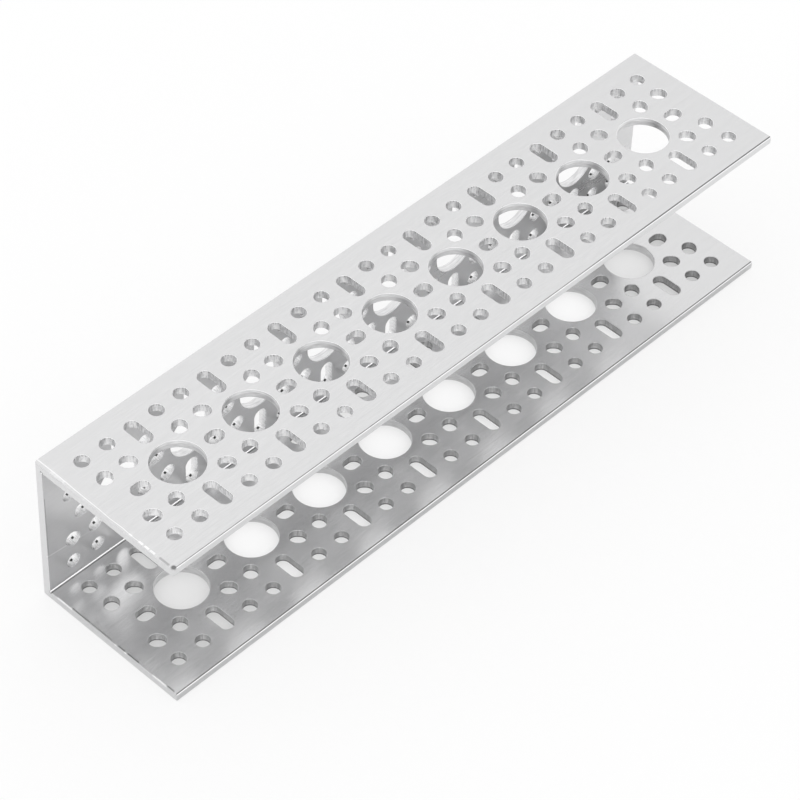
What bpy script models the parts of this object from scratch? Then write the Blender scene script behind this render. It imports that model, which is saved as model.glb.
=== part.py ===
"""Perforated aluminium U-channel: one extruded section with the same hole pattern cut in all three walls.

Metres, +Z up. The channel lies on one flange along X, its web upright at +Y and its open side at -Y.
The origin is on the floor, under the middle of the channel.
"""

from math import copysign, cos, pi, radians, sin, sqrt

import bmesh
import bpy
from mathutils import Matrix

# The section.
LENGTH = 0.216
WEB_WIDTH = 0.048
FLANGE_DEPTH = 0.048
WALL = 0.0025
OUTER_CORNER_RADIUS = 0.0005
INNER_FILLET_RADIUS = 0.0005
TIP_RADIUS = 0.0004
ARC_STEPS = 2

# The hole pattern, the same on each wall.
GRID = 0.008
BORE_DIAMETER = 0.014
HOLE_DIAMETER = 0.004
DIAGONAL_SLOT_REACH = 0.012
LEAST_EDGE_WALL = 0.001
BORE_SIDES = 20
HOLE_SIDES = 8

# How far a cutter stands out of the wall that it cuts.
OVERSHOOT = 0.001

# The finish: clear-anodised aluminium with a brushed grain.
METAL_COLOUR = (0.83, 0.83, 0.84, 1.0)
METAL_ROUGHNESS = 0.32

# A bore stands on every third grid line. A screw square of two grid steps a side fits around it, turned
# straight or by 45 degrees, so its screws lie on a circle of this radius.
BORE_PITCH = 3 * GRID
SCREW_CIRCLE_RADIUS = sqrt(2) * GRID


def clear_scene():
    for old in list(bpy.data.objects):
        bpy.data.objects.remove(old)


def new_collection(name):
    made = bpy.data.collections.new(name)
    bpy.context.scene.collection.children.link(made)
    return made


def brushed_aluminium():
    metal = bpy.data.materials.new("brushed_aluminium")
    metal.use_nodes = True
    shader = metal.node_tree.nodes["Principled BSDF"]
    shader.inputs["Base Color"].default_value = METAL_COLOUR
    shader.inputs["Metallic"].default_value = 1.0
    shader.inputs["Roughness"].default_value = METAL_ROUGHNESS
    metal.diffuse_color = METAL_COLOUR
    return metal


def rounded(corner, inwards, radius, first_degrees, turn_degrees):
    """Points of the arc that rounds a corner. inwards is the pair of signs from the corner to the arc's centre."""
    centre_y = corner[0] + inwards[0] * radius
    centre_z = corner[1] + inwards[1] * radius
    points = []
    for step in range(ARC_STEPS + 1):
        angle = radians(first_degrees + turn_degrees * step / ARC_STEPS)
        points.append((centre_y + radius * cos(angle), centre_z + radius * sin(angle)))
    return points


def section_outline():
    """The U's outline across the channel, anticlockwise, as (y, z) from the foot of its centre line."""
    back = FLANGE_DEPTH / 2
    front = -back
    inside = back - WALL
    floor = WALL
    ceiling = WEB_WIDTH - WALL
    outline = []
    outline += rounded((front, 0), (1, 1), TIP_RADIUS, 180, 90)
    outline += rounded((back, 0), (-1, 1), OUTER_CORNER_RADIUS, 270, 90)
    outline += rounded((back, WEB_WIDTH), (-1, -1), OUTER_CORNER_RADIUS, 0, 90)
    outline += rounded((front, WEB_WIDTH), (1, -1), TIP_RADIUS, 90, 90)
    outline += rounded((front, ceiling), (1, 1), TIP_RADIUS, 180, 90)
    outline += rounded((inside, ceiling), (-1, -1), INNER_FILLET_RADIUS, 90, -90)
    outline += rounded((inside, floor), (-1, 1), INNER_FILLET_RADIUS, 0, -90)
    outline += rounded((front, floor), (1, -1), TIP_RADIUS, 90, 90)
    return outline


def extruded_section(collection):
    """The plain channel: the section as a flat filled curve, extruded along X and made a mesh."""
    outline = section_outline()
    curve = bpy.data.curves.new("section", "CURVE")
    curve.dimensions = "2D"
    curve.fill_mode = "BOTH"
    curve.extrude = LENGTH / 2
    spline = curve.splines.new("POLY")
    spline.points.add(len(outline) - 1)
    for point, (y, z) in zip(spline.points, outline):
        point.co = (y, z, 0, 1)
    spline.use_cyclic_u = True
    section = bpy.data.objects.new("section", curve)
    section.rotation_euler = (radians(90), 0, radians(90))
    collection.objects.link(section)
    bpy.context.view_layer.update()

    evaluated = section.evaluated_get(bpy.context.evaluated_depsgraph_get())
    mesh = bpy.data.meshes.new_from_object(evaluated)
    joined = bmesh.new()
    joined.from_mesh(mesh)
    bmesh.ops.remove_doubles(joined, verts=joined.verts, dist=0.00001)
    bmesh.ops.recalc_face_normals(joined, faces=joined.faces)
    joined.to_mesh(mesh)
    joined.free()
    channel = bpy.data.objects.new("u_channel", mesh)
    channel.matrix_world = section.matrix_world
    collection.objects.link(channel)
    bpy.data.objects.remove(section)
    return channel


def wall_pattern(clear_width):
    """Every hole of one wall, as (x, across, diameter, travel, heading, sides) from the middle of the wall.

    travel is how far a slot's two ends stand apart, and heading is the slot's direction from the X axis.
    A wall too narrow for the outer row, two grid steps from the middle, has none.
    """
    holes = []
    pitches = int(LENGTH / BORE_PITCH + 0.001)
    first = -pitches * BORE_PITCH / 2
    outer_row = 2 * GRID
    has_outer_row = outer_row + HOLE_DIAMETER / 2 + LEAST_EDGE_WALL <= clear_width / 2

    # Round the middle of each bore and of each end, four slots run outwards from the corners of the screw
    # square, and a round hole stands outside each of them.
    diagonal_travel = DIAGONAL_SLOT_REACH - SCREW_CIRCLE_RADIUS
    diagonal_middle = (SCREW_CIRCLE_RADIUS + DIAGONAL_SLOT_REACH) / 2 / sqrt(2)
    # Turned by 45 degrees, the squares of two neighbouring bores nearly meet halfway between them.
    halfway_travel = abs(BORE_PITCH - 2 * SCREW_CIRCLE_RADIUS)
    for pitch in range(pitches):
        left = first + pitch * BORE_PITCH
        right = left + BORE_PITCH
        holes.append(((left + right) / 2, 0, HOLE_DIAMETER, halfway_travel, 0, HOLE_SIDES))
        for middle, along in ((left, 1), (right, -1)):
            for side in (-1, 1):
                x = middle + along * diagonal_middle
                heading = along * side * pi / 4
                holes.append((x, side * diagonal_middle, HOLE_DIAMETER, diagonal_travel, heading, HOLE_SIDES))
                if has_outer_row:
                    holes.append((middle + along * GRID, side * outer_row, HOLE_DIAMETER, 0, 0, HOLE_SIDES))

    # A bore, with a slot above and below it from the turned square to the outer row.
    for number in range(1, pitches):
        x = first + number * BORE_PITCH
        holes.append((x, 0, BORE_DIAMETER, 0, 0, BORE_SIDES))
        if has_outer_row:
            travel = outer_row - SCREW_CIRCLE_RADIUS
            for side in (-1, 1):
                across = side * (outer_row + SCREW_CIRCLE_RADIUS) / 2
                holes.append((x, across, HOLE_DIAMETER, travel, pi / 2, HOLE_SIDES))
    return holes


def add_punch(punches, x, across, diameter, travel, heading, sides, depth):
    """One straight punch. travel pulls its two halves apart into a slot along heading."""
    # The corners stand outside the circle by as much as gives the faceted hole the round one's area.
    corner_radius = diameter / 2 * sqrt(2 * pi / (sides * sin(2 * pi / sides)))
    half_side_turn = Matrix.Rotation(pi / sides, 4, "Z")
    made = bmesh.ops.create_cone(
        punches,
        cap_ends=True,
        segments=sides,
        radius1=corner_radius,
        radius2=corner_radius,
        depth=depth,
        matrix=half_side_turn,
    )
    for vert in made["verts"]:
        vert.co.x += copysign(travel / 2, vert.co.x)
    placing = Matrix.Translation((x, across, 0)) @ Matrix.Rotation(heading, 4, "Z")
    bmesh.ops.transform(punches, matrix=placing, verts=made["verts"])


def punch_set(name, clear_width, depth, collection):
    """All the punches of a wall as one cutter, standing along its own Z."""
    punches = bmesh.new()
    for hole in wall_pattern(clear_width):
        add_punch(punches, *hole, depth)
    mesh = bpy.data.meshes.new(name)
    punches.to_mesh(mesh)
    punches.free()
    cutter = bpy.data.objects.new(name, mesh)
    cutter.hide_render = True
    cutter.display_type = "WIRE"
    collection.objects.link(cutter)
    return cutter


def flange_punches(collection):
    """The punches of both flanges, which line up, so each goes through the two of them."""
    clear_depth = FLANGE_DEPTH - 2 * WALL
    cutter = punch_set("flange_punches", clear_depth, WEB_WIDTH + 2 * OVERSHOOT, collection)
    cutter.location = (0, 0, WEB_WIDTH / 2)
    return cutter


def web_punches(collection):
    """The punches of the web, laid over so that they go through it along Y."""
    clear_width = WEB_WIDTH - 2 * WALL
    cutter = punch_set("web_punches", clear_width, WALL + 2 * OVERSHOOT, collection)
    cutter.location = (0, FLANGE_DEPTH / 2 - WALL / 2, WEB_WIDTH / 2)
    cutter.rotation_euler = (radians(90), 0, 0)
    return cutter


def cut(channel, cutter):
    boolean = channel.modifiers.new(cutter.name, "BOOLEAN")
    boolean.operation = "DIFFERENCE"
    boolean.solver = "EXACT"
    boolean.object = cutter
    # Punches may run into one another, where longer slots or wider holes meet.
    boolean.use_self = True


def main():
    clear_scene()
    product = new_collection("aluminium_u_channel")
    cutters = new_collection("cutters")
    channel = extruded_section(product)
    channel.data.materials.clear()
    channel.data.materials.append(brushed_aluminium())
    cut(channel, flange_punches(cutters))
    cut(channel, web_punches(cutters))


main()
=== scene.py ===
"""Finished surface of a perforated aluminium U-channel, and the stage that it is shown on.

Metres, in the frame of the CAD solid: X along the channel, the web at +Y, the open side at -Y and the floor at
Z = 0.
"""

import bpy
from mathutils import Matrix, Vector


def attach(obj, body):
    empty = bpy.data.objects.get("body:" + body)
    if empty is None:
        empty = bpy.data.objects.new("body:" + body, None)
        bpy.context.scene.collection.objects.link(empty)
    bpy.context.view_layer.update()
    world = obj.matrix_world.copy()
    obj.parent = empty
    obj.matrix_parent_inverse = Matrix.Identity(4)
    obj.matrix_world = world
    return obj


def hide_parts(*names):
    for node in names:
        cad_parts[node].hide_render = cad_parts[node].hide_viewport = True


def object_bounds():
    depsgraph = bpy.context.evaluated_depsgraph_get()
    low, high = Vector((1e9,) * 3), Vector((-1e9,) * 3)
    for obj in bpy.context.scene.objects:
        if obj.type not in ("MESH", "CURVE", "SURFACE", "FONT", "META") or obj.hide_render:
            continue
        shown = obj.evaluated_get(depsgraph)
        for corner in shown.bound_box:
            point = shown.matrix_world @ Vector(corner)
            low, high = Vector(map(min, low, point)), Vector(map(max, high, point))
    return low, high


bl_info = {
    "name": "Perforated U-Channel",
    "version": (1, 0, 0),
    "blender": (4, 5, 0),
    "location": "3D View > Sidebar > Channel",
    "description": "Gives a perforated aluminium channel its finished surface, and sets a plain stage for it",
    "category": "Add Mesh",
}

from types import SimpleNamespace

import bpy
import numpy as np
from bpy.props import FloatProperty, FloatVectorProperty, PointerProperty
from bpy.types import Operator, Panel, PropertyGroup
from mathutils import Matrix, Vector

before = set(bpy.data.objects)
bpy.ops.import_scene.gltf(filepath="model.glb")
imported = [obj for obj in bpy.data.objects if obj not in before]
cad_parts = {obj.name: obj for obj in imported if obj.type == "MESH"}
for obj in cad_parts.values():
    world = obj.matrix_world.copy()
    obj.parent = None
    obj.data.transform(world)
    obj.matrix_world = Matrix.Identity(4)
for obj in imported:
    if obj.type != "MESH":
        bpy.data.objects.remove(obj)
CAD_LOW, CAD_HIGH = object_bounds()
CAD_SIZE = CAD_HIGH - CAD_LOW

# What the mesh tells the metal's finish about each point, from 0 to 1: whether it is on the wall of a hole, on
# the wall of a bore, on the rounding of an edge, and where a highlight is painted along the near end's roll.
MARKS = ("hole_wall", "bore_wall", "rounding", "rubbed")

# How far along the texture each hole stands from the one before, each kind of hole, and each wall.
TEXTURE_PER_HOLE = 0.1
TEXTURE_PER_KIND = 3.0
TEXTURE_PER_WALL = 20.0

# The noises of the metal: whether each follows the place or the wall of a hole, how fine it is along each axis,
# per metre, and its detail and roughness.
NOISES = {
    "grain": ("place", (250.0, 2000.0, 2000.0), 3.0, 0.6),
    "bands": ("place", (9.0, 700.0, 700.0), 2.0, 0.5),
    "scratches": ("place", (4.0, 1100.0, 1100.0), 1.0, 0.5),
    "clouds": ("place", (45.0, 45.0, 45.0), 3.0, 0.5),
    "blotches": ("place", (1500.0, 1500.0, 1500.0), 2.0, 0.5),
    "streaks": ("surface", (2600.0, 400.0, 1.0), 3.0, 0.6),
    "bore_streaks": ("surface", (300.0, 2500.0, 1.0), 3.0, 0.6),
}

# Dashes painted along the edges of the near end: where across the flange each starts and stops, in millimetres,
# and how strong it is from 0 to 1. The dark ones are painted dark reflections, and the bright ones painted
# highlights.
TOP_PAINTED_DARK_DASHES = ((-22.1, -19.0, 0.5),)
TOP_PAINTED_GLINTS = ((-17.3, -15.9, 0.9), (-15.3, -14.0, 1.0), (-13.3, -12.1, 1.0), (-9.6, -8.8, 0.6), (14.0, 18.5, 0.4))
LOW_PAINTED_DARK_DASHES = ((-22.6, -20.3, 0.7), (-10.2, -6.3, 1.0), (-5.3, -3.0, 0.9), (-0.7, 7.0, 0.5), (7.0, 13.7, 0.75))
LOW_PAINTED_GLINTS = ((-20.1, -15.4, 1.0), (-5.8, -5.4, 1.0), (-2.4, -1.9, 1.0), (13.7, 18.8, 1.0))
WEB_PAINTED_DARK_DASHES = ((-9.0, 12.0, 0.35),)

# How far along the channel the shear drew in the near end's top edge, at places across the flange, both in
# millimetres.
ROLL_PLACES = (-24, -18, -14, -10, -6, -2, 2, 6, 10, 14, 18, 24)
ROLL_RUNS = (0.47, 0.89, 0.67, 0.50, 0.76, 0.57, 0.80, 0.80, 0.90, 1.08, 1.17, 1.12)

# Equal steps between the corners of a tile: along an edge of one grid step or of the bore's octagon, and
# along the short edges that join the two.
EDGE_STEPS = 8
SHORT_EDGE_STEPS = 4

# Steps round the section's free edges and corners.
TIP_STEPS = 4
CORNER_STEPS = 5


def a_length(name, description, default):
    return FloatProperty(name=name, description=description, default=default, unit="LENGTH")


def an_angle(name, description, degrees):
    return FloatProperty(name=name, description=description, default=np.radians(degrees), subtype="ANGLE")


def a_share(name, description, default):
    return FloatProperty(
        name=name, description=description, default=default, min=0.0, max=1.0, subtype="FACTOR"
    )


class ChannelSizes(PropertyGroup):
    length: a_length("Length", "Length of the channel", CAD_SIZE.x)
    flange_depth: a_length("Flange Depth", "Depth of the flanges, over the web", CAD_SIZE.y)
    web_width: a_length("Web Width", "Width of the web, over the flanges", CAD_SIZE.z)
    wall: a_length("Wall", "Thickness of the web and the flanges", 0.0025)
    corner_radius: a_length("Corner Radius", "Radius of the two outer corners of the section", 0.0005)
    fillet_radius: a_length("Fillet Radius", "Radius of the two inner corners of the section", 0.0003)
    tip_radius: a_length("Tip Radius", "Radius of the flanges' long free edges", 0.0005)
    grid: a_length("Grid", "Step of the grid on which the holes stand", 0.008)
    bore_diameter: a_length("Bore Diameter", "Diameter of the large round bores", 0.014)
    hole_diameter: a_length(
        "Screw Hole Diameter", "Diameter of the screw holes, and width of the slots", 0.004
    )
    diagonal_reach: a_length(
        "Diagonal Slot Reach",
        "Distance from a bore's middle to the middle of a diagonal slot's outer end",
        0.012,
    )
    rim_radius: a_length("Rim Radius", "Rounding of the rims of the holes", 0.00016)
    end_radius: a_length("End Edge Radius", "Rounding of the inner edges of the two cut ends", 0.00008)
    end_roll: a_share(
        "End Roll", "Share of the measured roll that the shear left on the outer edges of the cut ends", 1.0
    )


class ChannelFinish(PropertyGroup):
    metal_colour: FloatVectorProperty(
        name="Metal",
        description="Colour of the aluminium",
        default=(0.765, 0.765, 0.77, 1.0),
        size=4,
        min=0.0,
        max=1.0,
        subtype="COLOR",
    )
    roughness: a_share("Roughness", "How soft the reflections in the brushed faces are", 0.24)
    edge_roughness: a_share("Edge Roughness", "How soft the reflections in the worn edges are", 0.12)
    grain_depth: a_length("Grain Depth", "Depth of the fine grain brushed along the channel", 0.000005)


class ChannelStage(PropertyGroup):
    azimuth: an_angle("Camera Azimuth", "Direction of the camera round the channel, from -Y", -47.788)
    elevation: an_angle("Camera Elevation", "Height of the camera's direction above the floor", 45.959)
    roll: an_angle("Camera Roll", "Turn of the camera about its own line of sight", 2.507)
    distance: a_length("Camera Distance", "Distance of the camera from the middle of the channel", 0.80874)
    aside: a_length("Camera Sideways", "Step of the camera to its own right", -0.00508)
    upwards: a_length("Camera Upwards", "Step of the camera to its own top", -0.01093)
    lens: FloatProperty(
        name="Focal Length",
        description="Focal length of the camera, in millimetres, over a frame of 36 mm",
        default=142.392,
        subtype="DISTANCE_CAMERA",
    )
    floor_side: a_length("Floor Side", "Length of each side of the floor", 6.0)
    floor_glow: a_share("Floor Glow", "Share of the floor's white that stays in a deep shadow", 0.7)
    hole_glow: a_share(
        "Floor Glow In Small Holes", "The same share where little of the sky above the floor is open", 0.53
    )
    bore_glow: a_share(
        "Floor Glow In Bores", "The same share where most of the sky above the floor is open", 0.8
    )
    reflected_glow: a_share(
        "Reflected Floor Glow", "Share of the floor's white that stays in a deep shadow seen in the metal", 0.0
    )
    inner_glow: a_share(
        "Reflected Glow Under Channel", "The same share under the channel, as seen in its inner faces", 0.58
    )
    reflected_white: a_share("Reflected Floor White", "How white the floor looks in the metal", 0.96)


def exact(group):
    """A group's lengths as plain numbers, to a tenth of a micrometre, so that points that should meet do."""
    return SimpleNamespace(**{name: round(getattr(group, name), 7) for name in group.__annotations__})


def polygon(corners, counts):
    """Points round a closed polygon, edge i cut into counts[i] equal steps: p = a + (b - a) k / n."""
    corners = np.asarray(corners, float)
    following = np.roll(corners, -1, axis=0)
    edges = []
    for start, end, count in zip(corners, following, counts):
        edges.append(start + (end - start) * np.arange(count)[:, None] / count)
    return np.concatenate(edges)


def slot_rim(centre, diameter, travel, heading, arc_steps, straight_steps):
    """Points round a slot, anticlockwise, and the normals that point away from it.

    At the angle t the normal is n = (cos t, sin t), and the point is centre + r n + s h travel / 2. Here h is
    the heading, and s is 1 on one arc and -1 on the other, and runs evenly between them on the straights.
    A round hole is a slot with no travel.
    """
    if travel > 0:
        arc = np.linspace(-np.pi / 2, np.pi / 2, arc_steps + 1)
        between = np.linspace(1, -1, straight_steps + 1)[1:-1]
        quarter = np.full(len(between), np.pi / 2)
        angles = np.concatenate([arc, quarter, arc + np.pi, -quarter])
        ends = np.ones(arc_steps + 1)
        shares = np.concatenate([ends, between, -ends, -between])
    else:
        angles = np.linspace(0, 2 * np.pi, 2 * arc_steps, endpoint=False)
        shares = np.zeros(2 * arc_steps)
    normals = np.stack([np.cos(angles + heading), np.sin(angles + heading)], axis=-1)
    along = np.array([np.cos(heading), np.sin(heading)])
    points = np.asarray(centre) + diameter / 2 * normals + shares[:, None] * along * travel / 2
    return points, normals


def matched(border, points, normals):
    """Numbers the rim's points so that each stands as near as can be to the border's point of its number."""
    count = len(border)
    orders = (np.arange(count)[:, None] + np.arange(count)) % count
    misses = np.square(points[orders] - border).sum(axis=(1, 2))
    best = orders[misses.argmin()]
    return points[best], normals[best]


class HolePattern:
    """The holes of one wall, and the flat tiles in which they stand, as (along, across) from its middle."""

    def __init__(self, sizes):
        self.grid = sizes.grid
        self.pitch = 3 * sizes.grid
        self.pitches = int(sizes.length / self.pitch + 0.001)
        self.first = -self.pitches * self.pitch / 2
        self.bore = sizes.bore_diameter
        self.hole = sizes.hole_diameter
        self.circle = np.sqrt(2) * sizes.grid
        self.reach = sizes.diagonal_reach
        # The octagon round a bore runs halfway between it and the screw holes around it.
        self.apothem = (self.bore / 2 + self.circle - self.hole / 2) / 2
        self.half_edge = self.apothem * np.tan(np.pi / 8)

    def tile(self, corners, counts, places, centre, diameter, travel=0, heading=0, straight_steps=0):
        """One kind of hole: its tile's border, its rim and normals, and where it stands, at most mirrored."""
        border = polygon(corners, counts)
        arc_steps = len(border) // 2 - straight_steps
        points, normals = slot_rim(centre, diameter, travel, heading, arc_steps, straight_steps)
        return (border, *matched(border, points, normals), np.asarray(places, float))

    def bores(self):
        """A round bore on every pitch, in an octagon."""
        a, h = self.apothem, self.half_edge
        corners = [(a, -h), (a, h), (h, a), (-h, a), (-a, h), (-a, -h), (-h, -a), (h, -a)]
        places = [(self.first + k * self.pitch, 1, 1) for k in range(1, self.pitches)]
        return self.tile(corners, [EDGE_STEPS] * 8, places, (0, 0), self.bore)

    def cross_slots(self):
        """Slots across the wall, outwards from each bore."""
        a, h, g = self.apothem, self.half_edge, self.grid
        corners = [(-h, a), (h, a), (g / 2, 1.5 * g), (g / 2, 2.5 * g), (-g / 2, 2.5 * g), (-g / 2, 1.5 * g)]
        counts = [EDGE_STEPS, SHORT_EDGE_STEPS, EDGE_STEPS, EDGE_STEPS, EDGE_STEPS, SHORT_EDGE_STEPS]
        places = [
            (self.first + k * self.pitch, 1, side) for k in range(1, self.pitches) for side in (1, -1)
        ]
        centre = (0, g + self.circle / 2)
        return self.tile(corners, counts, places, centre, self.hole, 2 * g - self.circle, np.pi / 2, 6)

    def halfway_slots(self):
        """Slots along the middle of the wall, halfway between bores."""
        a, h, g = self.apothem, self.half_edge, self.grid
        far = self.pitch - a
        corners = [(a, h), (a, -h), (1.5 * g, -g / 2), (far, -h), (far, h), (1.5 * g, g / 2)]
        counts = [EDGE_STEPS, SHORT_EDGE_STEPS, SHORT_EDGE_STEPS] * 2
        places = [(self.first + k * self.pitch, 1, 1) for k in range(self.pitches)]
        travel = self.pitch - 2 * self.circle
        return self.tile(corners, counts, places, (1.5 * g, 0), self.hole, travel, 0, 3)

    def four_round_each_middle(self):
        """Where a quarter of a pitch's pattern stands, turned over for each side of each bore and each end."""
        places = []
        for k in range(self.pitches):
            left = self.first + k * self.pitch
            for side in (1, -1):
                places += [(left, 1, side), (left + self.pitch, -1, side)]
        return places

    def diagonal_slots(self):
        """Slots on the diagonals from each bore and from the middle of each end."""
        a, h, g = self.apothem, self.half_edge, self.grid
        corners = [(a, h), (1.5 * g, g / 2), (1.5 * g, 1.5 * g), (g / 2, 1.5 * g), (h, a)]
        counts = [SHORT_EDGE_STEPS, EDGE_STEPS, EDGE_STEPS, SHORT_EDGE_STEPS, EDGE_STEPS]
        middle = (self.circle + self.reach) / 2 / np.sqrt(2)
        places, travel = self.four_round_each_middle(), self.reach - self.circle
        return self.tile(corners, counts, places, (middle, middle), self.hole, travel, np.pi / 4, 2)

    def outer_holes(self):
        """Round holes in the outer row."""
        g = self.grid
        corners = [(g / 2, 1.5 * g), (1.5 * g, 1.5 * g), (1.5 * g, 2.5 * g), (g / 2, 2.5 * g)]
        return self.tile(corners, [EDGE_STEPS] * 4, self.four_round_each_middle(), (g, 2 * g), self.hole)

    def kinds(self):
        """Every kind of hole, the bores first."""
        return self.bores(), self.cross_slots(), self.halfway_slots(), self.diagonal_slots(), self.outer_holes()

    def end_border(self):
        """The tiles' edge that faces a cut end: how far it stands from the end, and where across the wall."""
        a, h, g = self.apothem, self.half_edge, self.grid
        half = [(a, h), (h, a), (g / 2, 1.5 * g), (g / 2, 2.5 * g)]
        corners = [(along, -across) for along, across in half[::-1]] + half
        counts = [EDGE_STEPS, SHORT_EDGE_STEPS] + [EDGE_STEPS] * 3 + [SHORT_EDGE_STEPS, EDGE_STEPS, 1]
        return polygon(corners, counts)


def arc(centre, radius, first, turn, steps):
    """Points of an arc, centre + r (cos a, sin a), and their normals away from its centre."""
    angles = np.radians(first + turn * np.linspace(0, 1, steps + 1))
    normals = np.stack([np.cos(angles), np.sin(angles)], axis=-1)
    return np.asarray(centre) + radius * normals, normals


class Section:
    """The channel's rounded section as a closed line, and its parts by name.

    The line runs round the outer faces from the bottom flange's free edge to the top one's, and back round the
    inner faces. The outer and the inner half have as many points, in pairs across the metal.
    """

    def __init__(self, sizes, across):
        self.across = across
        self.top = sizes.web_width
        back, wall, tip = sizes.flange_depth / 2, sizes.wall, sizes.tip_radius
        corner, fillet = sizes.corner_radius, sizes.fillet_radius
        self.outer_points, self.outer_normals = self.half(
            0.0,
            back,
            arc((tip - back, tip), tip, 180, 90, TIP_STEPS),
            arc((back - corner, corner), corner, 270, 90, CORNER_STEPS),
            1.0,
        )
        self.inner_points, self.inner_normals = self.half(
            wall,
            back - wall,
            arc((tip - back, wall - tip), tip, 180, -90, TIP_STEPS),
            arc((back - wall - fillet, wall + fillet), fillet, -90, 90, CORNER_STEPS),
            -1.0,
        )
        self.count = len(self.outer_points)

    def half(self, face, web_face, free_edge, corner, facing):
        """The outer or inner half of the section. Its upper part is the lower one mirrored in the middle."""
        down, back = (0.0, -facing), (facing, 0.0)
        flange = np.stack([self.across, np.full(len(self.across), face)], axis=-1)
        web = np.stack([np.full(len(self.across), web_face), self.across + self.top / 2], axis=-1)
        (edge, edge_normals), (turn, turn_normals) = free_edge, corner
        parts = [
            (edge, edge_normals),
            (np.linspace(edge[-1], flange[0], 3)[1:-1], down),
            (flange, down),
            (np.linspace(flange[-1], turn[0], 3)[1:-1], down),
            (turn, turn_normals * facing),
            (np.linspace(turn[-1], web[0], 3)[1:-1], back),
        ]
        lower = np.concatenate([points for points, _ in parts])
        normals = np.concatenate([np.broadcast_to(out, points.shape) for points, out in parts])
        self.tip_end = len(edge) + 1
        self.web_start = len(lower)
        return (
            np.concatenate([lower, web, lower[::-1] * (1, -1) + (0, self.top)]),
            np.concatenate([normals, np.broadcast_to(back, web.shape), normals[::-1] * (1, -1)]),
        )

    def halves(self):
        return (
            (self.outer_points, self.outer_normals, True),
            (self.inner_points, self.inner_normals, False),
        )

    def wall_spans(self):
        """Where the patterned middles of the bottom flange, the web and the top flange stand in a half."""
        starts = (self.tip_end, self.web_start, self.count - self.tip_end - len(self.across))
        spans = [slice(start, start + len(self.across)) for start in starts]
        return dict(zip(("bottom", "web", "top"), spans))

    def plain_spans(self):
        """The strips between the patterned middles: the two free edges and the two corners."""
        spans = list(self.wall_spans().values())
        starts = [0] + [span.stop - 1 for span in spans]
        stops = [span.start + 1 for span in spans] + [self.count]
        return [slice(start, stop) for start, stop in zip(starts, stops)]


def patch(points, normals, uv=None, **marks):
    """One or more grids of surface points, patch by row by column, with their normals and marks."""
    shape = points.shape[:3]
    number = np.arange(np.prod(shape)).reshape(shape)
    quads = np.stack([number[:, :-1, :-1], number[:, 1:, :-1], number[:, 1:, 1:], number[:, :-1, 1:]], axis=-1)
    if uv is None:
        uv = points[..., :2] + points[..., 2:]
    made = {
        "points": points.reshape(-1, 3),
        "normals": np.broadcast_to(normals, points.shape).reshape(-1, 3),
        "uv": np.broadcast_to(uv, shape + (2,)).reshape(-1, 2),
        "quads": quads.reshape(-1, 4),
    }
    for mark in MARKS:
        made[mark] = np.broadcast_to(marks.get(mark, 0.0), shape).reshape(-1)
    # The normal of a flat or a hole's wall lies in one of the wall's own directions, and a round's between two.
    if "rounding" not in marks:
        tilt = 1 - np.abs(made["normals"]).max(axis=1)
        made["rounding"] = np.clip(tilt * 6, 0, 1)
    return made


def wall_frames(sizes):
    """Each wall's frame: the middle of its outer face, and the directions across it and into the metal."""
    return {
        "bottom": ((0, 0, 0), (0, 1, 0), (0, 0, 1)),
        "web": ((0, sizes.flange_depth / 2, sizes.web_width / 2), (0, 0, 1), (0, -1, 0)),
        "top": ((0, 0, sizes.web_width), (0, 1, 0), (0, 0, -1)),
    }


def rim_profile(wall, radius):
    """The way down a hole: a quarter round of radius r, the bare wall, and a quarter round on the far side.

    Over the turn a from 0 to 90 degrees the round stands r (1 - sin a) outside the hole at the depth
    r (1 - cos a), and its normal is cos a out of the face and sin a into the hole.
    """
    turn = np.linspace(0, np.pi / 2, 3)
    turn = np.concatenate([turn, turn[::-1]])
    far = np.arange(len(turn)) >= len(turn) // 2
    depth = radius * (1 - np.cos(turn))
    depth = np.where(far, wall - depth, depth)
    return radius * (1 - np.sin(turn)), depth, np.sin(turn), np.where(far, 1, -1) * np.cos(turn)


def hole_patches(sizes, pattern):
    """Every hole of the three walls with its tile on both faces, from border to rim to rim to border."""
    outside, depth, into_hole, into_wall = rim_profile(sizes.wall, sizes.rim_radius)
    on_wall = np.pad(into_hole, 1)[None, :, None]
    rounding = np.pad(np.sin(2 * np.arcsin(into_hole)), 1)[None, :, None]
    patches = []
    for kind, (border, rim, away, places) in enumerate(pattern.kinds()):
        columns = np.arange(len(border) + 1) % len(border)
        rim, away = rim[columns], away[columns]
        flat = np.zeros((len(depth) + 2, len(columns), 3))
        flat[[0, -1], :, :2] = border[columns]
        flat[-1, :, 2] = sizes.wall
        flat[1:-1, :, :2] = rim + outside[:, None, None] * away
        flat[1:-1, :, 2] = depth[:, None]
        facing = np.zeros_like(flat)
        facing[0, :, 2] = -1
        facing[-1, :, 2] = 1
        facing[1:-1, :, :2] = -into_hole[:, None, None] * away
        facing[1:-1, :, 2] = into_wall[:, None]
        mirror = np.insert(places[:, 1:], 2, 1, axis=1)[:, None, None]
        placed = flat * mirror + places[:, None, None, :1] * (1, 0, 0)
        # Across the texture is the way around the hole, with each hole on a stretch of its own.
        around = np.pad(np.cumsum(np.linalg.norm(np.diff(rim, axis=0), axis=1)), (1, 0))
        uv = np.zeros(placed.shape[:3] + (2,))
        uv[..., 0] = around + TEXTURE_PER_HOLE * np.arange(len(places))[:, None, None]
        uv[..., 0] += TEXTURE_PER_KIND * kind
        uv[..., 1] = flat[..., 2]
        for number, (origin, across, inwards) in enumerate(wall_frames(sizes).values()):
            axes = np.array([(1, 0, 0), across, inwards], float)
            patches.append(
                patch(
                    np.array(origin) + placed @ axes,
                    facing * mirror @ axes,
                    uv + (TEXTURE_PER_WALL * number, 0),
                    hole_wall=on_wall,
                    bore_wall=on_wall * (kind == 0),
                    rounding=rounding,
                )
            )
    return patches


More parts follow.
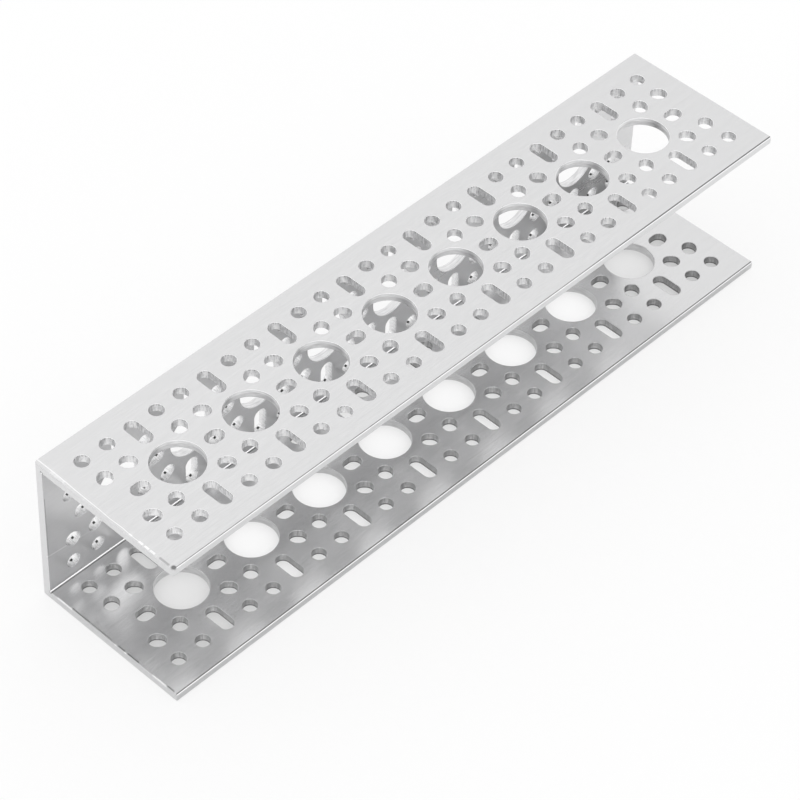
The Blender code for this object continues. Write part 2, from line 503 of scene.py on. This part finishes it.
def end_round(points, normals, outer, side, sizes):
    """How far the edge of a cut end runs along X, and how far into the metal, at each point of the section.

    Both are the plain rounding times 1 + 0.35 of three added waves, as hand deburring leaves it. On the outer
    faces the shear drew the metal in instead: the run is the measured one, less towards the floor, and it goes
    half as deep, or as deep as the corners' radius lets it. The share of the roll falls to nothing round the
    flanges' free edges, as 1 - ny squared.
    """
    y, z = points[:, 0], points[:, 1]
    way = (y + 1.7 * z) / 0.001 + 40 * side
    waves = 0.5 * np.sin(0.9 * way) + 0.3 * np.sin(2.3 * way + 1.0) + 0.2 * np.sin(4.1 * way + 2.0)
    plain = sizes.end_radius * (1 + 0.35 * waves)
    share = sizes.end_roll * np.where(outer, 1 - np.minimum(normals[:, 0], 0) ** 2, 0.0)
    height = np.clip(z / sizes.web_width, 0, 1)
    roll = np.interp(y * 1000, ROLL_PLACES, ROLL_RUNS) * 0.001 * (0.3 + 0.7 * height)
    if side > 0:
        roll = roll / 3
    else:
        # Where a bright dash is painted on the lower flange's inner edge, the edge is rounder too.
        for start, stop, strength in LOW_PAINTED_GLINTS:
            inside = (y > start * 0.001) & (y < stop * 0.001) & (z < 2 * sizes.wall)
            plain = plain * (1 + 1.2 * strength * inside)
    depth = np.minimum(roll / 2, 0.9 * sizes.corner_radius)
    return plain + share * (roll - plain), plain + share * (depth - plain)


def strip_patches(sizes, section):
    """The plain strips of the section carried along X in steps of an eighth of the grid.

    The four steps at each end share out what its rounding leaves of half the grid.
    """
    steps = round(sizes.length / sizes.grid * EDGE_STEPS)
    x = np.linspace(-sizes.length / 2, sizes.length / 2, steps + 1)
    lines = []
    for points, normals, outer in section.halves():
        lines += [(points[span], normals[span], outer) for span in section.plain_spans()]
    # The flat of each free edge joins the two halves.
    for end in (0, -1):
        pair = np.stack([section.outer_points[end], section.inner_points[end]])
        facing = np.stack([section.outer_normals[end], section.inner_normals[end]])
        lines.append((pair, facing, np.array([True, False])))
    patches = []
    shares = np.linspace(1, 0, EDGE_STEPS // 2 + 1)[:, None]
    for line, facing, outer in lines:
        points = np.zeros((1, len(x), len(line), 3))
        points[0, :, :, 0] = x[:, None]
        points[0, : len(shares), :, 0] += shares * end_round(line, facing, outer, -1, sizes)[0]
        points[0, -len(shares) :, :, 0] -= shares[::-1] * end_round(line, facing, outer, 1, sizes)[0]
        points[0, :, :, 1:] = line
        normals = np.zeros_like(points)
        normals[0, :, :, 1:] = facing
        patches.append(patch(points, normals))
    return patches


def end_face_patches(sizes, section, pattern):
    """The flat of each face between its last tiles and the rounded edge of a cut end."""
    reach = pattern.end_border()[:, 0]
    shares = np.linspace(0, 1, SHORT_EDGE_STEPS + 1)
    patches = []
    for points, normals, outer in section.halves():
        for name, span in section.wall_spans().items():
            line, facing = points[span], normals[span]
            from_end = reach[::-1] if name == "top" else reach
            for side in (-1, 1):
                run = end_round(line, facing, outer, side, sizes)[0]
                inwards = run + shares[:, None] * (from_end - run)
                grid = np.zeros((1,) + inwards.shape + (3,))
                grid[0, :, :, 0] = side * (sizes.length / 2 - inwards)
                grid[0, :, :, 1:] = line
                faced = np.zeros_like(grid)
                faced[0, :, :, 1:] = facing
                patches.append(patch(grid, faced))
    return patches


def cut_end_patches(sizes, section):
    """Both cut ends: a quarter of an ellipse all along the section, and the flat cut between its two halves.

    With the run a along X and the depth d, the edge at the turn t stands a (1 - sin t) from the cut and
    d (1 - cos t) in the metal. Its normal is d sin t along X and a cos t out of the face, made one long. A
    highlight is painted on the line where the near end's roll starts to turn, from 12 mm off the middle to the
    web.
    """
    loop = np.concatenate([section.outer_points, section.inner_points[::-1], section.outer_points[:1]])
    facing = np.concatenate([section.outer_normals, section.inner_normals[::-1], section.outer_normals[:1]])
    outer = np.arange(len(loop)) % (2 * section.count) < section.count
    turn = np.radians((0, 15, 30, 60, 90))[:, None]
    shape = (1, len(turn), len(loop))
    patches = []
    for side in (-1, 1):
        run, depth = end_round(loop, facing, outer, side, sizes)
        points = np.zeros(shape + (3,))
        points[0, :, :, 0] = side * (sizes.length / 2 - run * (1 - np.sin(turn)))
        points[0, :, :, 1:] = loop - (depth * (1 - np.cos(turn)))[..., None] * facing
        normals = np.zeros_like(points)
        normals[0, :, :, 0] = side * depth * np.sin(turn)
        normals[0, :, :, 1:] = (run * np.cos(turn))[..., None] * facing
        normals /= np.linalg.norm(normals, axis=-1, keepdims=True)
        smooth = np.broadcast_to(np.sin(2 * turn) ** 0.5, shape)
        rubbed = np.zeros(shape)
        if side < 0:
            rubbed[0, 1] = outer * (facing[:, 1] > 0.9) * np.clip(loop[:, 0] / 0.0005 + 25, 0, 1)
        patches.append(patch(points, normals, rounding=smooth, rubbed=rubbed))
        rim = points[0, -1]
        flat = np.stack([rim[: section.count], rim[section.count : 2 * section.count][::-1]])[None]
        patches.append(patch(flat, np.array([side, 0.0, 0.0])))
    return patches


def mesh_from_patches(name, patches):
    """One closed mesh of all the patches: points that meet become one, and faces look along their normals."""
    starts = np.cumsum([0] + [len(p["points"]) for p in patches])
    joined = {key: np.concatenate([p[key] for p in patches]) for key in patches[0] if key != "quads"}
    quads = np.concatenate([p["quads"] + start for p, start in zip(patches, starts)])
    places = np.round(joined["points"] / 1e-7).astype(np.int64)
    _, first, welded = np.unique(places, axis=0, return_index=True, return_inverse=True)
    welded = welded.reshape(-1)

    corners = joined["points"][quads]
    geometric = np.cross(corners[:, 2] - corners[:, 0], corners[:, 3] - corners[:, 1])
    backwards = (geometric * joined["normals"][quads].sum(axis=1)).sum(axis=1) < 0
    quads[backwards] = quads[backwards][:, ::-1]

    mesh = bpy.data.meshes.new(name)
    mesh.from_pydata(joined["points"][first], [], welded[quads])
    mesh.uv_layers.new(name="surface").data.foreach_set("uv", joined["uv"][quads].astype(np.float32).ravel())
    for mark in MARKS:
        values = mesh.attributes.new(mark, "FLOAT", "POINT")
        values.data.foreach_set("value", joined[mark][first].astype(np.float32))
    mesh.polygons.foreach_set("use_smooth", np.ones(len(mesh.polygons), bool))
    mesh.normals_split_custom_set_from_vertices(joined["normals"][first])
    mesh.update()
    return mesh


def channel_mesh(sizes):
    pattern = HolePattern(sizes)
    section = Section(sizes, pattern.end_border()[:, 1])
    patches = hole_patches(sizes, pattern)
    patches += strip_patches(sizes, section)
    patches += end_face_patches(sizes, section, pattern)
    patches += cut_end_patches(sizes, section)
    return mesh_from_patches("aluminium_channel", patches)


class Nodes:
    """Clears the node tree of a material or a world, adds nodes to it from left to right and links them."""

    def __init__(self, owner):
        owner.use_nodes = True
        self.tree = owner.node_tree
        self.tree.nodes.clear()

    def add(self, kind, settings=None, **inputs):
        """A shader node. An input goes by its name, with _ for a space, or as i and its number."""
        made = self.tree.nodes.new("ShaderNode" + kind)
        made.location = (220 * len(self.tree.nodes), 0)
        for name, value in (settings or {}).items():
            setattr(made, name, value)
        for name, value in inputs.items():
            socket = made.inputs[int(name[1:]) if name[1:].isdigit() else name.replace("_", " ")]
            if isinstance(value, bpy.types.NodeSocket):
                self.tree.links.new(value, socket)
            else:
                socket.default_value = value
        return made

    def math(self, operation, first, second=0.0, clamp=False):
        made = self.add("Math", {"operation": operation, "use_clamp": clamp}, i0=first, i1=second)
        return made.outputs[0]

    def minus(self, first, second, clamp=False):
        return self.math("SUBTRACT", first, second, clamp)

    def plus(self, *values, clamp=False):
        """The sum of the values. Where it is clamped, its last step is."""
        made = values[0]
        for value in values[1:]:
            made = self.math("ADD", made, value, clamp and value is values[-1])
        return made

    def product(self, *values):
        made = values[0]
        for value in values[1:]:
            made = self.math("MULTIPLY", made, value)
        return made

    def vector_math(self, operation, first, second):
        """The distance or the dot product of two vectors."""
        return self.add("VectorMath", {"operation": operation}, i0=first, i1=second).outputs["Value"]

    def mix(self, share, first, second):
        """The first value where share is 0 and the second where it is 1."""
        return self.add("Mix", {"data_type": "FLOAT"}, i0=share, i2=first, i3=second).outputs[0]

    def noise(self, coordinates, scale, detail=2.0, roughness=0.5):
        """Noise that is drawn out along the axes with a small scale."""
        mapped = self.add("Mapping", Vector=coordinates, Scale=scale).outputs[0]
        return self.add("TexNoise", Vector=mapped, Scale=1.0, Detail=detail, Roughness=roughness).outputs[0]

    def between(self, value, low, high, start=0.0, stop=1.0):
        """Takes a value of start to stop to the range from low to high, and no further."""
        made = self.add("MapRange", Value=value, From_Min=start, From_Max=stop, To_Min=low, To_Max=high)
        return made.outputs[0]

    def near(self, value, middle, half, soft):
        """1 where a value is within half of the middle, and 0 where it is further than half and soft."""
        return self.between(self.math("ABSOLUTE", self.minus(value, middle)), 1.0, 0.0, half, half + soft)

    def stretches(self, across, spans):
        """The strength of the span in which a place across the flange lies, in metres, and 0 between spans.

        The spans are in millimetres from the middle, and fade out over a quarter of one.
        """
        reach, fade = 25.0, 0.25
        share = self.between(across, 0.0, 1.0, -reach / 1000, reach / 1000)
        ramp = self.add("ValToRGB", Fac=share)
        stops = []
        for start, stop, strength in sorted(spans):
            stops += [(start - fade, 0.0), (start, strength), (stop, strength), (stop + fade, 0.0)]
        elements = ramp.color_ramp.elements
        while len(elements) < len(stops):
            elements.new(0.5)
        for element, (place, level) in zip(elements, stops):
            element.position = (place + reach) / (2 * reach)
            element.color = (level, level, level, 1.0)
        return ramp.outputs["Color"]


def surface_places(nodes):
    """What the finish reads of each point: its place, its texture, its normal and its marks.

    On the wall of a hole the texture is the way around it and the depth from the channel's outer face.
    """
    coordinates = nodes.add("TexCoord").outputs
    place, surface = coordinates["Object"], coordinates["UV"]
    x, y, z = nodes.add("SeparateXYZ", Vector=place).outputs
    around, depth, _ = nodes.add("SeparateXYZ", Vector=surface).outputs
    marks = {mark: nodes.add("Attribute", {"attribute_name": mark}).outputs["Fac"] for mark in MARKS}
    facing = coordinates["Normal"]
    return SimpleNamespace(
        place=place, surface=surface, x=x, y=y, z=z, around=around, depth=depth, facing=facing, **marks
    )


def painted_end_marks_and_scratch(nodes, at, sizes):
    """Dark dashes and highlights painted along the near end's edges, a painted dark spot in its top front
    corner, and a scratch.
    """
    y, z = at.y, at.z
    inwards = nodes.plus(at.x, sizes.length / 2)
    upper = nodes.near(z, sizes.web_width, 0.0007, 0.0002)
    lower = nodes.near(z, sizes.wall, 0.0004, 0.0002)
    upper_strip = nodes.product(upper, nodes.near(inwards, 0.00045, 0.00022, 0.0001))
    lower_middle = nodes.between(y, 0.00026, 0.00037, -0.002, 0.002)
    lower_strip = nodes.product(lower, nodes.near(inwards, lower_middle, 0.00013, 0.0001))
    lower_edge = nodes.product(lower, nodes.near(inwards, 0.0001, 0.00015, 0.0001))
    inner_web = nodes.near(y, sizes.flange_depth / 2 - sizes.wall, 0.0003, 0.0002)
    web_strip = nodes.product(inner_web, nodes.near(inwards, 0.0003, 0.0001, 0.0001))
    height = nodes.minus(z, sizes.web_width / 2)
    corner = nodes.add("CombineXYZ", X=inwards, Y=y, Z=z).outputs[0]
    painted_corner_dash = nodes.vector_math("DISTANCE", corner, (0.0007, -0.0234, sizes.web_width - 0.0001))
    painted_dark_dashes = nodes.plus(
        nodes.product(upper_strip, nodes.stretches(y, TOP_PAINTED_DARK_DASHES)),
        nodes.product(lower_strip, nodes.stretches(y, LOW_PAINTED_DARK_DASHES)),
        nodes.product(web_strip, nodes.stretches(height, WEB_PAINTED_DARK_DASHES)),
        nodes.between(painted_corner_dash, 1.0, 0.0, 0.00045, 0.0008),
        clamp=True,
    )
    # A shallow scratch in the web's inner face, from the near end, painted bright like a highlight.
    slanted = nodes.plus(z, nodes.product(inwards, 0.1))
    scratch = nodes.product(inner_web, nodes.near(slanted, 0.01551, 0.0001, 0.0001))
    painted_glints_and_scratch = nodes.plus(
        nodes.product(upper_strip, nodes.stretches(y, TOP_PAINTED_GLINTS)),
        nodes.product(lower_edge, nodes.stretches(y, LOW_PAINTED_GLINTS)),
        nodes.product(scratch, nodes.between(inwards, 0.9, 0.0, 0.009, 0.015)),
        clamp=True,
    )
    return painted_dark_dashes, nodes.plus(painted_glints_and_scratch, at.rubbed, clamp=True)


def painted_edge_lines(nodes, at, sizes):
    """Painted dark lines along the channel, and a painted highlight on each fillet.

    The dark lines stand in for dark reflections beside each fillet and where the flanges' free edges start to
    round. With the height h above the nearer flange's outer face, a fillet is where (y, h) is within its radius
    of the sharp inner corner.
    """
    y, z, front = at.y, at.z, -sizes.flange_depth / 2
    height = nodes.math("MINIMUM", z, nodes.minus(sizes.web_width, z))
    place = nodes.add("CombineXYZ", X=y, Y=height).outputs[0]
    away = nodes.vector_math("DISTANCE", place, (sizes.flange_depth / 2 - sizes.wall, sizes.wall, 0.0))
    radius = sizes.fillet_radius
    bright = nodes.between(away, 1.0, 0.0, 0.85 * radius, 1.05 * radius)
    on_flange = nodes.between(height, 1.0, 0.0, sizes.wall + 0.00003, sizes.wall + 0.00008)
    beside = nodes.product(on_flange, nodes.near(away, radius + 0.00013, 0.0001, 0.00006))
    tip = nodes.near(nodes.minus(y, front), 0.00036, 0.0001, 0.00007)
    lower = nodes.product(tip, nodes.near(z, sizes.wall, 0.0002, 0.0001))
    far_end = nodes.near(at.x, 0.085, 0.025, 0.03)
    upper = nodes.product(tip, nodes.near(z, sizes.web_width, 0.0002, 0.0001), far_end)
    # Painted shade: the bottom flange's free edge is darker than the top one's, for the shaded floor it
    # reflects close by.
    painted_shade = nodes.product(
        nodes.between(y, 0.2, 0.0, front + 0.00012, front + 0.00025),
        nodes.between(z, 1.0, 0.0, sizes.wall - 0.0004, sizes.wall - 0.0002),
    )
    return nodes.plus(beside, nodes.plus(nodes.product(lower, 0.65), nodes.product(upper, 0.9)), painted_shade), bright


def painted_shade_specks(nodes, at, on_web):
    """A dark speck of painted shade low on the wall of each of the web's holes.

    With the wall's normal n, a speck is where n runs up and to the left and n . (0.89, 0, 0.45) is near a
    number that changes from hole to hole.
    """
    place = nodes.add("CombineXYZ", X=at.x, Z=at.z).outputs[0]
    shift = nodes.between(nodes.noise(place, (90.0, 0.0, 90.0), 0.0), -0.35, 0.35)
    sideways = nodes.vector_math("DOT_PRODUCT", at.facing, (0.89, 0.0, 0.45))
    upwards = nodes.vector_math("DOT_PRODUCT", at.facing, (-0.45, 0.0, 0.89))
    angle = nodes.near(nodes.minus(sideways, shift), 0.0, 0.15, 0.05)
    side = nodes.between(upwards, 0.0, 1.0, 0.5, 0.55)
    band = nodes.near(at.depth, 0.0008, 0.0003, 0.0001)
    return nodes.product(angle, side, band, on_web)


def hole_wall_finish(nodes, at, noises):
    """Tone, roughness and height of a punched hole's wall.

    Its tone holds painted light and shade: brighter than the metal in the top flange and the web, partly from
    the web's burnish, darker in the bottom flange, and lighter or darker by the way each wall faces. It is
    streaked and rougher in the flanges, and broken where the bottom flange's holes end at its outer face.
    """
    below = nodes.product(at.hole_wall, nodes.math("LESS_THAN", at.around, TEXTURE_PER_WALL))
    above = nodes.product(at.hole_wall, nodes.math("GREATER_THAN", at.around, 2 * TEXTURE_PER_WALL))
    on_web = nodes.minus(at.hole_wall, nodes.plus(below, above))
    # Painted light and shade by the way a wall faces: lighter where it faces -X, and in the flanges where it
    # faces between X and Y.
    facing_x, facing_y, facing_z = nodes.add("SeparateXYZ", Vector=at.facing).outputs
    askew = nodes.product(facing_x, facing_y)
    painted_facing_light = nodes.plus(nodes.between(facing_x, 0.98, 0.58, -1.0, 1.0), nodes.product(askew, askew, 1.12))
    # In the web those that face down are painted lighter too.
    painted_facing_light = nodes.plus(painted_facing_light, nodes.product(on_web, nodes.between(facing_z, 0.3, 0.0, -1.0, 1.0)))
    # A painted highlight: the web's hole walls are brighter than the metal, most so next to its outer face,
    # where the burnish is, and the top flange's are painted a little brighter too.
    painted_web_highlight_and_burnish = nodes.plus(at.depth, nodes.between(noises.blotches, -0.0005, 0.0005, 0.3, 0.7))
    painted_web_highlight_and_burnish = nodes.between(painted_web_highlight_and_burnish, 1.32, 1.06, 0.0009, 0.0015)
    # Painted shade: the bottom flange's walls are darker, and more so towards the far end.
    painted_shade = nodes.between(at.x, 0.67, 0.54, 0.06, 0.08)
    tone = nodes.product(painted_facing_light, nodes.mix(below, nodes.mix(on_web, 1.1, painted_web_highlight_and_burnish), painted_shade))
    mottling = nodes.product(
        nodes.between(noises.streaks, 0.75, 1.25, 0.3, 0.7),
        nodes.between(noises.blotches, nodes.mix(on_web, 0.85, 0.78), 1.12, 0.3, 0.7),
    )
    # The top flange's are ragged below the rim.
    ragged = nodes.product(above, nodes.near(at.depth, 0.0003, 0.00015, 0.0001))
    rags = nodes.between(noises.streaks, 0.6, 1.35, 0.4, 0.6)
    mottling = nodes.product(mottling, nodes.mix(ragged, 1.0, rags))
    # Near the bottom flange's outer face the metal tore; that band is painted dark enough to stand in for the
    # floor's shadow under the rim too.
    torn_reach = nodes.between(noises.blotches, 0.0003, 0.0007)
    torn_and_painted_shade = nodes.between(nodes.minus(at.depth, torn_reach), 1.0, 0.0, -0.00008, 0.00008)
    torn_and_painted_shade = nodes.product(torn_and_painted_shade, below)
    tone = nodes.product(tone, mottling, nodes.mix(torn_and_painted_shade, 1.0, 0.4))
    # A bore's wall is streaked round it, and brighter over its upper part in the top flange. In the bottom
    # flange it is painted darker, as painted shade.
    bore_tone = nodes.mix(above, 1.05, nodes.between(at.depth, 1.12, 0.9, 0.0008, 0.0011))
    bore_tone = nodes.mix(below, bore_tone, 0.76)
    bore_streaks = nodes.between(noises.bore_streaks, 0.8, 1.2, 0.3, 0.7)
    tone = nodes.mix(at.bore_wall, tone, nodes.product(bore_tone, bore_streaks))
    # Painted shade: a dark speck low in each of the web's small holes.
    painted_specks = painted_shade_specks(nodes, at, nodes.minus(on_web, at.bore_wall, clamp=True))
    tone = nodes.product(tone, nodes.mix(painted_specks, 1.0, 0.06))
    rough = nodes.mix(on_web, 0.55, nodes.between(noises.blotches, 0.2, 0.45, 0.3, 0.7))
    rough = nodes.mix(at.bore_wall, rough, 0.35)
    return tone, rough, nodes.mix(torn_and_painted_shade, noises.streaks, noises.blotches)


def face_finish(nodes, at, noises, roughness, sizes):
    """Tone, roughness and height of the faces, brushed along X."""
    brushing = nodes.mix(0.35, noises.grain, noises.bands)
    scratches = nodes.between(noises.scratches, 1.0, 0.96, 0.68, 0.74)
    tone = nodes.product(nodes.between(brushing, 0.94, 1.06, 0.35, 0.65), scratches)
    # The top face, the web's inner face and the far end are brushed more finely.
    on_top = nodes.between(at.z, 0.0, 1.0, sizes.web_width - 0.0002, sizes.web_width - 0.0001)
    in_web = nodes.between(at.y, 0.0, 1.0, sizes.flange_depth / 2 - 0.0032, sizes.flange_depth / 2 - 0.0028)
    fine = nodes.math("MAXIMUM", nodes.product(on_top, 0.5), nodes.product(in_web, 0.65))
    fine = nodes.math("MAXIMUM", fine, nodes.between(at.x, 0.0, 0.65, 0.035, 0.065))
    tone = nodes.mix(fine, tone, 1.0)
    # The flanges' inner faces are smoother than the top one, and the web's is rougher.
    rough = nodes.between(brushing, roughness - 0.03, roughness + 0.03)
    rough = nodes.mix(fine, rough, roughness)
    rough = nodes.minus(rough, nodes.between(on_top, nodes.mix(in_web, 0.04, -0.04), 0.0))
    rough = nodes.plus(rough, nodes.between(noises.clouds, -0.02, 0.02))
    return tone, rough, nodes.mix(fine, noises.grain, 0.5)


def brushed_aluminium(finish, sizes):
    """Satin aluminium with a fine grain brushed along X, worn smooth on the edges, with light and shade painted
    into its tone.
    """
    material = bpy.data.materials.new("brushed_aluminium")
    nodes = Nodes(material)
    at = surface_places(nodes)
    made = {name: nodes.noise(getattr(at, follows), *form) for name, (follows, *form) in NOISES.items()}
    noises = SimpleNamespace(**made)
    faces = face_finish(nodes, at, noises, finish.roughness, sizes)
    walls = hole_wall_finish(nodes, at, noises)
    tone, rough, height = [nodes.mix(at.hole_wall, *pair) for pair in zip(faces, walls)]
    # A highlight is painted on the rims of the holes in the top face, and a weaker one on those lower down.
    rims = nodes.product(
        at.rounding,
        nodes.near(at.x, 0.0, sizes.length / 2 - 0.003, 0.001),
        nodes.near(at.y, 0.0, sizes.flange_depth / 2 - 0.005, 0.001),
    )
    high = nodes.between(at.z, 0.15, 1.0, sizes.web_width - 0.0007, sizes.web_width - 0.0005)
    tone = nodes.mix(nodes.product(rims, high), tone, 1.28)
    # Painted light on the edges: dark dashes and lines, bright glints and fillet highlights, and the scratch
    # drawn bright.
    painted_dark_dashes, painted_glints_and_scratch = painted_end_marks_and_scratch(nodes, at, sizes)
    lines, painted_fillet_highlights = painted_edge_lines(nodes, at, sizes)
    for worn, level in ((painted_dark_dashes, 0.35), (painted_glints_and_scratch, 1.3), (lines, 0.35), (painted_fillet_highlights, 1.25)):
        tone = nodes.product(tone, nodes.mix(worn, 1.0, level))
    rough = nodes.mix(at.rounding, rough, finish.edge_roughness)
    rough = nodes.mix(painted_dark_dashes, rough, 0.55)
    colour = nodes.add("VectorMath", {"operation": "SCALE"}, i0=finish.metal_colour[:3], Scale=tone)
    bump = nodes.add("Bump", Height=height, Strength=1.0, Distance=finish.grain_depth)
    shader = nodes.add(
        "BsdfPrincipled",
        Base_Color=colour.outputs[0],
        Metallic=1.0,
        Roughness=rough,
        Normal=bump.outputs[0],
    )
    nodes.add("OutputMaterial", Surface=shader.outputs[0])
    return material


def floor_material(stage, sizes):
    """Plain white floor. What it lacks of full white in open light it gives off itself, so shadows stay.

    Only the camera and reflections see what it gives off. A reflection shows the floor with deeper shadows than
    the camera does, as the floor close to the metal has.
    """
    material = bpy.data.materials.new("pale_floor")
    nodes = Nodes(material)
    rays = nodes.add("LightPath").outputs
    reflected = rays["Is Glossy Ray"]
    seen = nodes.plus(rays["Is Camera Ray"], reflected, rays["Is Transmission Ray"], clamp=True)
    x, y, _ = nodes.add("SeparateXYZ", Vector=nodes.add("TexCoord").outputs["Object"]).outputs
    under = nodes.product(
        nodes.near(x, 0.0, sizes.length / 2 - 0.006, 0.005),
        nodes.near(y, 0.0, sizes.flange_depth / 2 - 0.006, 0.005),
    )
    # Under the channel, the floor's reflection in the metal's inner faces gets a painted glow of its own.
    share = nodes.mix(reflected, stage.floor_glow, nodes.mix(under, stage.reflected_glow, stage.inner_glow))
    white = nodes.mix(reflected, 1.0, stage.reflected_white)
    paint = nodes.add("BsdfDiffuse", Color=nodes.minus(white, share))
    # Under the channel the camera sees the floor glow more where it lies open, in a bore more than in a small
    # hole or a slot, and less near the channel's ends, as painted shade.
    sky = nodes.add("AmbientOcclusion", {"samples": 2}, Distance=0.01).outputs["AO"]
    opened = nodes.between(sky, stage.hole_glow, stage.bore_glow, 0.25, 0.8)
    opened = nodes.product(opened, nodes.between(nodes.math("ABSOLUTE", x), 1.0, 0.76, 0.064, 0.08))
    share = nodes.mix(nodes.minus(under, reflected, clamp=True), share, opened)
    glow = nodes.add("Emission", Strength=nodes.product(seen, share))
    both = nodes.add("AddShader", i0=paint.outputs[0], i1=glow.outputs[0])
    nodes.add("OutputMaterial", Surface=both.outputs[0])
    return material


# The studio's light and dark areas: direction, the half angles in degrees inside which an area is full and
# outside which it is gone, and what it adds to the even white.
STUDIO_AREAS = (
    ("low softbox in front", (0.514, -0.82, 0.25), 8.0, 20.0, 0.6),
    ("dark ceiling on the right", (0.514, -0.17, 0.841), 8.0, 18.0, -0.4),
    ("dark ceiling in front", (0.55, -0.42, 0.72), 8.0, 14.0, -0.9),
    ("dim wall on the right", (0.75, 0.40, 0.52), 5.0, 25.0, -0.06),
    ("softbox behind the camera", (-0.514, -0.466, 0.72), 10.0, 20.0, 0.3),
)


def studio_world():
    """A white studio with a few softly bounded lighter and darker areas, which only reflections show."""
    world = bpy.data.worlds.new("studio")
    nodes = Nodes(world)
    direction = nodes.add("TexCoord").outputs["Generated"]
    level = 1.0
    for label, axis, full, gone, added in STUDIO_AREAS:
        soft = nodes.add(
            "MapRange",
            {"interpolation_type": "SMOOTHSTEP", "label": label},
            Value=nodes.vector_math("DOT_PRODUCT", direction, Vector(axis).normalized()),
            From_Min=np.cos(np.radians(gone)),
            From_Max=np.cos(np.radians(full)),
            To_Max=added,
        )
        level = nodes.plus(level, soft.outputs[0])
    strength = nodes.mix(nodes.add("LightPath").outputs["Is Glossy Ray"], 1.0, level)
    backdrop = nodes.add("Background", Color=(1.0, 1.0, 1.0, 1.0), Strength=strength)
    nodes.add("OutputWorld", Surface=backdrop.outputs[0])
    return world


def add_object(name, data):
    made = bpy.data.objects.new(name, data)
    bpy.context.scene.collection.objects.link(made)
    return made


class CHANNEL_OT_finish(Operator):
    """Makes the channel's finished surface in place of its CAD solid"""

    bl_idname = "channel.finish_channel"
    bl_label = "Finish Channel"

    def execute(self, context):
        sizes = exact(context.scene.channel_sizes)
        mesh = channel_mesh(sizes)
        mesh.materials.append(brushed_aluminium(context.scene.channel_finish, sizes))
        channel = add_object("aluminium_channel", mesh)
        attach(channel, "root")
        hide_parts("u_channel")
        return {"FINISHED"}


class CHANNEL_OT_stage(Operator):
    """Sets the floor, the light and the camera"""

    bl_idname = "channel.set_stage"
    bl_label = "Set Stage"

    def execute(self, context):
        scene = context.scene
        stage = scene.channel_stage
        half = stage.floor_side / 2
        corners = np.array([(-half, -half), (half, -half), (half, half), (-half, half)])
        mesh = bpy.data.meshes.new("floor")
        mesh.from_pydata(np.c_[corners, np.full(4, -0.00002)], [], np.arange(4)[None])
        mesh.materials.append(floor_material(stage, exact(scene.channel_sizes)))
        add_object("floor", mesh)
        scene.world = studio_world()

        a, e = stage.azimuth, stage.elevation
        back = np.array([np.sin(a) * np.cos(e), -np.cos(a) * np.cos(e), np.sin(e)])
        level = np.array([np.cos(a), np.sin(a), 0.0])
        upright = np.cross(back, level)
        right = np.cos(stage.roll) * level + np.sin(stage.roll) * upright
        up = np.cos(stage.roll) * upright - np.sin(stage.roll) * level
        middle = np.array([0.0, 0.0, scene.channel_sizes.web_width / 2])
        place = middle + stage.aside * right + stage.upwards * up + stage.distance * back
        camera = add_object("camera", bpy.data.cameras.new("camera"))
        camera.data.lens = stage.lens
        camera.data.sensor_width = 36.0
        camera.data.clip_end = 20.0
        turn = Matrix((right, up, back)).transposed().to_4x4()
        camera.matrix_world = Matrix.Translation(place) @ turn
        scene.camera = camera
        scene.view_settings.view_transform = "Standard"
        return {"FINISHED"}


class CHANNEL_PT_panel(Panel):
    """Sizes, finish and stage of the channel"""

    bl_idname = "CHANNEL_PT_panel"
    bl_label = "Perforated U-Channel"
    bl_space_type = "VIEW_3D"
    bl_region_type = "UI"
    bl_category = "Channel"

    def draw(self, context):
        layout = self.layout
        layout.use_property_split = True
        groups = (
            (context.scene.channel_sizes, CHANNEL_OT_finish),
            (context.scene.channel_finish, CHANNEL_OT_finish),
            (context.scene.channel_stage, CHANNEL_OT_stage),
        )
        for group, operator in groups:
            box = layout.box()
            for name in group.__annotations__:
                box.prop(group, name)
            box.operator(operator.bl_idname)


CLASSES = (ChannelSizes, ChannelFinish, ChannelStage, CHANNEL_OT_finish, CHANNEL_OT_stage, CHANNEL_PT_panel)


def register():
    for each in CLASSES:
        bpy.utils.register_class(each)
    bpy.types.Scene.channel_sizes = PointerProperty(type=ChannelSizes)
    bpy.types.Scene.channel_finish = PointerProperty(type=ChannelFinish)
    bpy.types.Scene.channel_stage = PointerProperty(type=ChannelStage)


def unregister():
    del bpy.types.Scene.channel_stage
    del bpy.types.Scene.channel_finish
    del bpy.types.Scene.channel_sizes
    for each in reversed(CLASSES):
        bpy.utils.unregister_class(each)


def main():
    register()
    bpy.ops.channel.finish_channel()
    bpy.ops.channel.set_stage()


if __name__ == "__main__":
    main()
